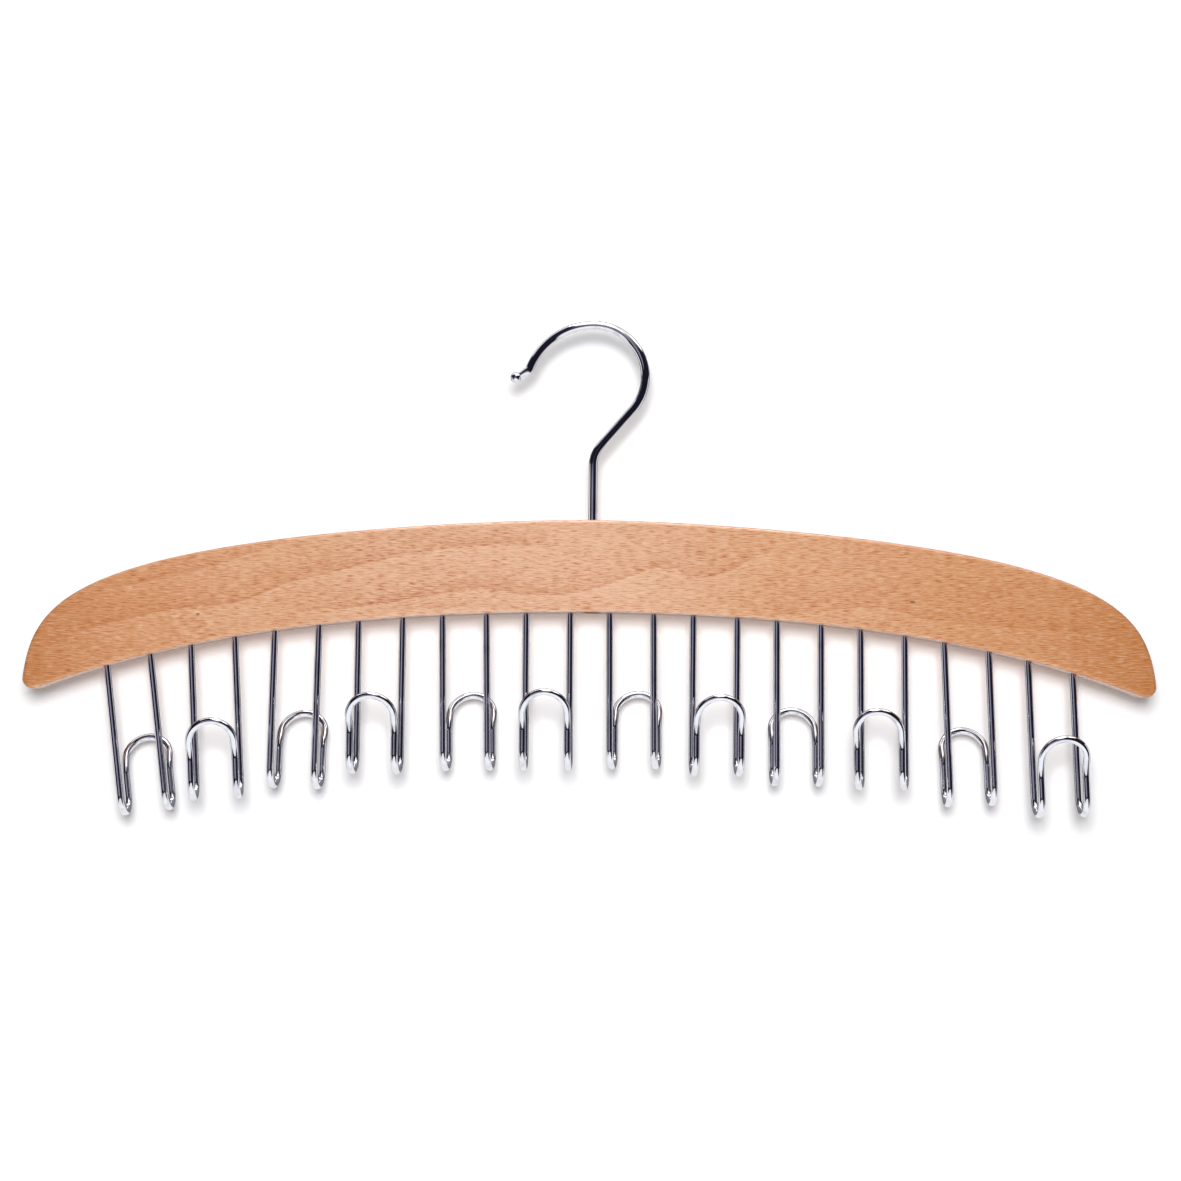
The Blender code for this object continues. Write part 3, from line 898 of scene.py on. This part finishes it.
def belt_half(index, side):
    """Half of a belt hook in its own frame: down the shank, round the foot, up the leg and out.

    The run is worked out flat, as (reach, height), and then stands in the upright plane that the
    hook's skew turns from +Y or -Y. A short straight piece follows the flare.
    """
    drawn = DRAWN_SHARES[index] * SHANK_LENGTH
    skew = math.radians(SKEW_DEG[index])
    turned_up = 1.0 if index % 2 == 0 else -1.0
    reach = np.array((math.sin(skew), turned_up * math.cos(skew)))
    bend = -SHANK_LENGTH - drawn
    shank_heights = np.linspace(SEAT_DEPTH - drawn, bend, SHANK_STEPS)
    shank = np.column_stack((np.zeros(SHANK_STEPS), shank_heights))
    foot = arc((THROAT_DEPTH / 2, bend), THROAT_DEPTH / 2, 180.0, 360.0, BEND_STEP_DEG)
    leg_end = foot[-1] + (0.0, LEG_LENGTH)
    flare_centre = leg_end + (FLARE_RADIUS, 0.0)
    flare = arc(flare_centre, FLARE_RADIUS, 180.0, 180.0 - FLARE_DEG, FLARE_STEP_DEG)
    lean = math.radians(FLARE_DEG)
    flare_end = flare[-1] + FLARE_LENGTH * np.array((math.sin(lean), math.cos(lean)))
    run = np.vstack((shank, foot, leg_end, flare, flare_end))
    along = run[:, :1] * reach
    x = along[:, 0] + side * SHANK_SPACING / 2
    return np.column_stack((x, along[:, 1], run[:, 1])), reach


def make_belt_hook(index):
    """Two halves joined by a leaning arch, swept and set in its seat.

    Arch point = leg's end + across * X + up * (sin(flare) * reach + cos(flare) * Z), with across
    and up from a half circle.
    """
    left, reach = belt_half(index, -1)
    right, _ = belt_half(index, 1)
    bow = arc((SHANK_SPACING / 2, 0.0), SHANK_SPACING / 2, 180.0, 0.0, BEND_STEP_DEG)[:-1]
    flare = math.radians(FLARE_DEG)
    upward = np.array((*(math.sin(flare) * reach), math.cos(flare)))
    arch = left[-1] + bow[:, :1] * (1.0, 0.0, 0.0) + bow[:, 1:] * upward
    path = np.vstack((left, arch, right[::-1]))
    aside = unit(np.array((1.0, 0.0, 0.0)) - np.array((*reach, 0.0)))
    rings = sweep(path, np.full(len(path), BELT_WIRE / 2), BELT_SIDES, aside)
    vertices, faces = shell(rings)
    piece = add_object(f"belt_hook_wire_{index + 1:02d}", placed(vertices, seat(index)), faces)
    shade(piece)
    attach(piece, "hanger")
    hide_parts(f"belt_hook_{index + 1:02d}")
    return piece


belt_hooks = [make_belt_hook(index) for index in range(BELT_HOOK_COUNT)]
print("belt hooks:", len(belt_hooks), "of", len(belt_hooks[0].data.vertices), "vertices each")

# %% [markdown]
# ## The washer
# A small zinc-plated washer hides in the counterbore and carries the load. A torus primitive
# would be too round. Its section is a rectangle with softened edges, turned about the stem.

# %% The washer
WASHER_SIDES = 64
WASHER_EDGE = 0.0001
WASHER_CREASE_DEG = 30.0


def make_washer():
    """Section points turned about Z: (radius * cos, radius * sin, height)."""
    inner = HOOK_WIRE / 2 + CLEARANCE
    outer = WASHER_DIAMETER / 2
    e = WASHER_EDGE
    bottom, top = washer_bottom, washer_top
    section = np.array((
        (outer - e, bottom), (outer, bottom + e), (outer, top - e), (outer - e, top),
        (inner + e, top), (inner, top - e), (inner, bottom + e), (inner + e, bottom),
    ))
    angle = np.linspace(0.0, 2 * math.pi, WASHER_SIDES, endpoint=False)
    radius = section[:, :1]
    height = np.repeat(section[:, 1:], WASHER_SIDES, axis=1)
    rings = np.stack((radius * np.cos(angle), radius * np.sin(angle), height), axis=-1)
    faces = ring_faces(len(section), WASHER_SIDES, closed=True)
    piece = add_object("stem_washer", rings.reshape(-1, 3), faces)
    shade(piece, WASHER_CREASE_DEG)
    return piece


washer = make_washer()
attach(washer, "hanger")
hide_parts("hook_washer")
print("washer:", len(washer.data.polygons), "faces")

# %% [markdown]
# ## Chrome and zinc
# Bright chrome is almost a mirror: it takes its look from what stands around it. A plain mirror
# looks computed, so it gets what real wire has: drawing marks, a faint haze and shallow dents. They
# are noise at three sizes. The zinc is duller, with a spangle of crystals.

# %% Metals
CHROME_TINT = srgb(232, 234, 240)
CHROME_WORN = srgb(206, 208, 216)
ZINC_TINT = srgb(176, 180, 184)
ZINC_DARK = srgb(138, 142, 147)
HAZE_CELL = (0.006, 0.006, 0.010)
DENT_CELL = (0.003, 0.003, 0.005)
MARK_WIDTH = 0.0006
ROD_MARK_LENGTH = 0.012
BELT_MARK_LENGTH = 0.009
CHROME_RELIEF = 0.003 * MM
CRYSTAL_CELL = (0.0007, 0.0007, 0.0007)
CRYSTAL_RELIEF = 0.01 * MM


def make_chrome(name, mark_length):
    """Bright chrome: near-mirror, with cloudy haze, fine marks and very shallow dents."""
    metal = Finish(name)
    haze = metal.noise(metal.scaled(metal.place, HAZE_CELL), 3.0)
    marks = metal.noise(metal.scaled(metal.place, (MARK_WIDTH, MARK_WIDTH, mark_length)), 2.0)
    dents = metal.noise(metal.scaled(metal.place, DENT_CELL), 1.0)
    tint = metal.mix(metal.fade(haze, 0.50, 0.75), CHROME_TINT, CHROME_WORN)
    height = metal.math("MULTIPLY_ADD", dents, 4.0, marks)
    metal.set(Base_Color=tint, Metallic=1.0, Roughness=metal.fade(haze, 0.3, 0.75, 0.02, 0.05))
    metal.set(Normal=metal.bump(height, CHROME_RELIEF))
    return metal.material


def make_zinc():
    """Zinc plate: grey crystals of two tones, rougher where they meet."""
    metal = Finish("zinc_plate")
    distance, chance = metal.cells(metal.scaled(metal.place, CRYSTAL_CELL))
    tint = metal.mix(chance, ZINC_TINT, ZINC_DARK)
    roughness = metal.fade(distance, 0.1, 0.8, 0.28, 0.45)
    metal.set(Base_Color=tint, Metallic=1.0, Roughness=roughness)
    metal.set(Normal=metal.bump(distance, CRYSTAL_RELIEF))
    return metal.material


rod_chrome = make_chrome("rod_hook_chrome", ROD_MARK_LENGTH)
belt_chrome = make_chrome("belt_hook_chrome", BELT_MARK_LENGTH)
zinc = make_zinc()
rod_hook.data.materials.append(rod_chrome)
for piece in belt_hooks:
    piece.data.materials.append(belt_chrome)
washer.data.materials.append(zinc)
print("metals:", rod_chrome.name, belt_chrome.name, zinc.name)

# %% [markdown]
# ## The camera
# The picture is square. It is taken 0.8 m from the board, from a little below its middle, looking
# up by five degrees and leaning by half a degree. A long lens keeps the twelve hooks nearly
# parallel.

# %% Camera
CAMERA_PLACE = (-0.00066, -0.8, -0.17311)
CAMERA_PITCH_DEG = 5.0
CAMERA_ROLL = 0.0083
FOCAL_PIXELS = 2061.44
PICTURE_PIXELS = 1181
SENSOR_WIDTH = 36.0
NEAREST_SEEN = 0.01


def make_camera():
    """Aimed along +Y, pitched up, then rolled about its own viewing axis."""
    data = bpy.data.cameras.new("camera")
    data.sensor_width = SENSOR_WIDTH
    data.lens = FOCAL_PIXELS / PICTURE_PIXELS * SENSOR_WIDTH
    data.clip_start = NEAREST_SEEN
    camera = bpy.data.objects.new("camera", data)
    aim = Euler((math.radians(90.0 + CAMERA_PITCH_DEG), 0.0, 0.0)).to_matrix().to_4x4()
    camera.matrix_world = Matrix.Translation(CAMERA_PLACE) @ aim @ Matrix.Rotation(CAMERA_ROLL, 4, "Z")
    bpy.context.scene.collection.objects.link(camera)
    bpy.context.scene.camera = camera
    return camera


camera = make_camera()
print("lens:", round(camera.data.lens, 2), "mm")

# %% [markdown]
# ## Wall and floor
# The hanger hangs just in front of a white wall, above a pale floor, and the wall takes the short
# soft shadow below each piece. Plain planes are enough. They are matt white, lifted a little for
# the camera towards the picture's rim. The wall is clear from behind and stops no light, so the
# hanger can be looked at from there too. Reflections don't see them: a dome takes their place.

# %% Wall and floor
WALL_Y = 0.035
WALL_HALF = 1.6
FLOOR_Z = -0.46
WALL_WHITE = srgb(250, 250, 252)
WHITE = (1.0, 1.0, 1.0, 1.0)
WALL_LIFT = 0.04
RIM_LIFT = 0.17
RIM_FADE = (0.17, 0.36)
LIT_CENTRE = (0.0, -0.12)
METRE = (1.0, 1.0)


def make_plane(name, corners):
    """One four-sided face, for the wall or the floor."""
    piece = add_object(name, corners, [[0, 1, 2, 3]])
    return piece


def seen_rays(tree):
    """1 for a ray from the camera, a mirror or glass, and 0 for light on its way to a matt surface."""
    rays = tree.nodes.new("ShaderNodeLightPath").outputs
    seen = rays["Is Camera Ray"]
    for kind in ("Is Glossy Ray", "Is Transmission Ray"):
        either = tree.nodes.new("ShaderNodeMath")
        either.operation = "MAXIMUM"
        tree.links.new(seen, either.inputs[0])
        tree.links.new(rays[kind], either.inputs[1])
        seen = either.outputs[0]
    return seen


def make_backdrop_finish():
    """Matt white that shows its shadows, lifted to plain white towards the rim, clear from behind."""
    paint = Finish("backdrop_white")
    x, _, z = paint.axes(paint.place)
    out = oval_distance(paint, x, z, LIT_CENTRE, METRE)
    lift = paint.fade(out, *RIM_FADE, WALL_LIFT, RIM_LIFT)
    paint.set(Base_Color=WALL_WHITE, Roughness=1.0, Specular_IOR_Level=0.0, Emission_Color=WHITE)
    paint.set(Emission_Strength=paint.math("MULTIPLY", seen_rays(paint.tree), lift))
    clear = paint.add("ShaderNodeBsdfTransparent")
    side = paint.add("ShaderNodeNewGeometry")
    either = paint.add("ShaderNodeMixShader")
    paint.plug(either.inputs[0], side.outputs["Backfacing"])
    paint.plug(either.inputs[1], paint.shader.outputs[0])
    paint.plug(either.inputs[2], clear.outputs[0])
    paint.plug(paint.tree.nodes["Material Output"].inputs["Surface"], either.outputs[0])
    return paint.material


half = WALL_HALF
backdrop_white = make_backdrop_finish()
wall = make_plane("wall", [
    (-half, WALL_Y, FLOOR_Z), (half, WALL_Y, FLOOR_Z), (half, WALL_Y, half), (-half, WALL_Y, half),
])
floor = make_plane("floor", [
    (-half, -half, FLOOR_Z), (half, -half, FLOOR_Z), (half, half, FLOOR_Z), (-half, half, FLOOR_Z),
])
for piece in (wall, floor):
    piece.data.materials.append(backdrop_white)
    piece.visible_diffuse = False
    piece.visible_glossy = False
wall.visible_shadow = False
print("wall", WALL_Y, "m behind the stem, floor at", FLOOR_Z)

# %% [markdown]
# ## What the mirrors see
# Polished metal needs things to reflect. A picture of a room could surround it. A dome is painted
# with soft edges instead: a dark room in front, a bright panel above, a pale floor below, and the
# white wall behind with the board's grey shadow on it. Only reflections see the dome.

# %% The dome that mirrors see
DOME_RADIUS = 1.0
DOME_RINGS = 24
DOME_SIDES = 48
ROOM_NAVY = (0.012, 0.011, 0.020, 1.0)
ROOM_MAUVE = (0.30, 0.27, 0.36, 1.0)
PANEL_WHITE = (1.0, 0.97, 0.96, 1.0)
FLOOR_WHITE = (1.06, 1.08, 1.12, 1.0)
WALL_GREY = (0.20, 0.20, 0.23, 1.0)
GAP_DIMMING = 0.60
LAMP_GLOW = 1.2


def make_dome():
    """A sphere about the hanger: radius * (sin b cos a, -cos b, sin b sin a), its poles on Y."""
    b = np.linspace(0.0, math.pi, DOME_RINGS + 2)[1:-1, None]
    a = np.linspace(0.0, 2 * math.pi, DOME_SIDES, endpoint=False)
    y = -np.cos(b) * np.ones_like(a)
    rings = DOME_RADIUS * np.stack((np.sin(b) * np.cos(a), y, np.sin(b) * np.sin(a)), axis=-1)
    vertices, faces = shell(rings)
    vertices[-2:] = ((0.0, -DOME_RADIUS, 0.0), (0.0, DOME_RADIUS, 0.0))
    dome = add_object("mirror_dome", vertices, faces)
    for rays in ("camera", "diffuse", "transmission", "volume_scatter", "shadow"):
        setattr(dome, f"visible_{rays}", False)
    return dome


def band(room, value, rise, fall):
    """1 between two soft edges: up between the numbers of rise, down between those of fall."""
    return room.math("MULTIPLY", room.fade(value, *rise), room.fade(value, *fall))


def slanted(room, value, slope, other):
    """value * slope + other: an edge across it leans."""
    return room.math("MULTIPLY_ADD", value, slope, other)


def overhead(room, x, z):
    """High up on the dome, reaching further down in a strip over the middle."""
    strip = room.fade(room.math("ABSOLUTE", x), 0.28, 0.20)
    return room.fade(slanted(room, strip, 0.30, z), 0.56, 0.64)


def bright_panel(room, over, x, z):
    """The right part of what is overhead, dimmer in a gap between two panels."""
    gap = band(room, x, (0.30, 0.36), (0.56, 0.50))
    panel = room.math("MULTIPLY", over, room.fade(slanted(room, z, 0.32, x), 0.03, 0.13))
    return room.math("MULTIPLY", panel, slanted(room, gap, -GAP_DIMMING, 1.0))


def pale_ground(room, x, z):
    """Low down, with a leaning edge on the right and another in the middle."""
    ground = room.fade(z, -0.34, -0.46)
    ground = room.math("MULTIPLY", ground, room.fade(slanted(room, x, -0.35, z), -0.27, -0.39))
    return room.math("MULTIPLY", ground, room.fade(slanted(room, z, 0.84, x), 0.06, -0.06))


def dim_patch(room, x, z):
    """A patch of the room on the left, a little lighter than the rest."""
    upright_band = band(room, z, (-0.32, -0.26), (0.12, 0.07))
    return room.math("MULTIPLY", band(room, x, (-0.70, -0.54), (0.10, -0.02)), upright_band)


def wall_behind(room, over, x, y, z):
    """Everything behind the hanger's plane, cut back where the upper corners stay dark."""
    side = room.math("ABSOLUTE", x)
    corner = room.math("MULTIPLY", room.fade(side, 0.12, 0.30), room.fade(z, 0.08, 0.22))
    corner = room.math("MULTIPLY", corner, room.math("SUBTRACT", 1.0, over))
    return room.fade(slanted(room, corner, -0.55, y), -0.12, -0.02)


def board_shadow(room, y, z):
    """Straight behind, at the board's height and below, fading out higher up and near the floor."""
    shadow = room.fade(slanted(room, z, 0.35, y), 0.38, 0.48)
    shadow = room.math("MULTIPLY", shadow, room.fade(z, -0.40, -0.22))
    return room.math("MULTIPLY", shadow, room.fade(z, 0.30, 0.15, 0.92, 1.0))


def make_dome_finish():
    """Glowing paint in layers, each over the last, and twice as bright where a lamp hangs overhead.

    Places are shares of the dome's radius.
    """
    room = Finish("mirror_room")
    x, y, z = room.axes(room.scaled(room.place, (DOME_RADIUS,) * 3))
    over = overhead(room, x, z)
    ground = room.mix(room.fade(z, -0.62, -0.80), PANEL_WHITE, FLOOR_WHITE)
    colour = room.mix(bright_panel(room, over, x, z), ROOM_NAVY, PANEL_WHITE)
    colour = room.mix(dim_patch(room, x, z), colour, ROOM_MAUVE)
    colour = room.mix(pale_ground(room, x, z), colour, ground)
    colour = room.mix(wall_behind(room, over, x, y, z), colour, PANEL_WHITE)
    colour = room.mix(board_shadow(room, y, z), colour, WALL_GREY)
    glow = room.add("ShaderNodeEmission")
    room.plug(glow.inputs["Color"], colour)
    lamp = room.math("MULTIPLY", room.fade(z, 0.45, 0.70), room.fade(y, 0.42, 0.25))
    room.plug(glow.inputs["Strength"], slanted(room, lamp, LAMP_GLOW, 1.0))
    room.plug(room.tree.nodes["Material Output"].inputs["Surface"], glow.outputs[0])
    room.tree.nodes.remove(room.shader)
    room.material.cycles.emission_sampling = "NONE"
    return room.material


dome = make_dome()
dome.data.materials.append(make_dome_finish())
print("dome radius:", DOME_RADIUS)

# %% [markdown]
# ## Lamps and sky
# A soft lamp near the camera throws the short shadows. A long one above lights the top edges, a
# faint one below lifts the underside, and one behind the wall lights the board's back for whoever
# looks from there. One big lamp would be simpler, but it would blur the shadows away. An even sky
# fills the rest.

# %% Lamps and sky
KEY_PLACE = (-0.006, -0.9, -0.070)
KEY_SIZE = 0.18
KEY_WATTS = 7.4
TOP_PLACE = (0.0, -0.10, 0.95)
TOP_SIZE = (0.9, 0.22)
TOP_WATTS = 5.5
LOW_PLACE = (0.0, 0.0, -0.44)
LOW_SIZE = (0.9, 0.05)
LOW_WATTS = 0.7
BACK_PLACE = (0.0, 0.9, -0.070)
BACK_WATTS = 6.5
SKY_STRENGTH = 0.15
TO_BACK_DEG = 90.0
TO_FRONT_DEG = -90.0
DOWN_DEG = 0.0
UP_DEG = 180.0


def make_lamp(name, place, turn_deg, size, watts):
    """A soft lamp. A single size makes a round one, a pair makes a rectangle along X."""
    data = bpy.data.lights.new(name, "AREA")
    data.shape = "RECTANGLE" if isinstance(size, tuple) else "DISK"
    data.size, data.size_y = size if isinstance(size, tuple) else (size, size)
    data.energy = watts
    lamp = bpy.data.objects.new(name, data)
    turn = Matrix.Rotation(math.radians(turn_deg), 4, "X")
    lamp.matrix_world = Matrix.Translation(place) @ turn
    bpy.context.scene.collection.objects.link(lamp)
    return lamp


def make_sky():
    """An even soft light from all round, plain white where a seen ray gets past everything."""
    world = bpy.data.worlds.new("studio")
    world.use_nodes = True
    tree = world.node_tree
    strength = tree.nodes.new("ShaderNodeMapRange")
    tree.links.new(seen_rays(tree), strength.inputs["Value"])
    strength.inputs["To Min"].default_value = SKY_STRENGTH
    strength.inputs["To Max"].default_value = 1.0
    background = tree.nodes["Background"]
    background.inputs["Color"].default_value = WHITE
    tree.links.new(strength.outputs[0], background.inputs["Strength"])
    bpy.context.scene.world = world


key = make_lamp("key", KEY_PLACE, TO_BACK_DEG, KEY_SIZE, KEY_WATTS)
make_lamp("top", TOP_PLACE, DOWN_DEG, TOP_SIZE, TOP_WATTS)
low = make_lamp("low", LOW_PLACE, UP_DEG, LOW_SIZE, LOW_WATTS)
back = make_lamp("back", BACK_PLACE, TO_FRONT_DEG, KEY_SIZE, BACK_WATTS)
for lamp in (key, low, back):
    lamp.visible_glossy = False
for lamp in (low, back):
    lamp.visible_camera = False
make_sky()
bpy.context.scene.view_settings.view_transform = "Standard"
print("lamps, W:", {lamp.name: round(lamp.data.energy, 2) for lamp in (key, low, back)}, "top", TOP_WATTS)
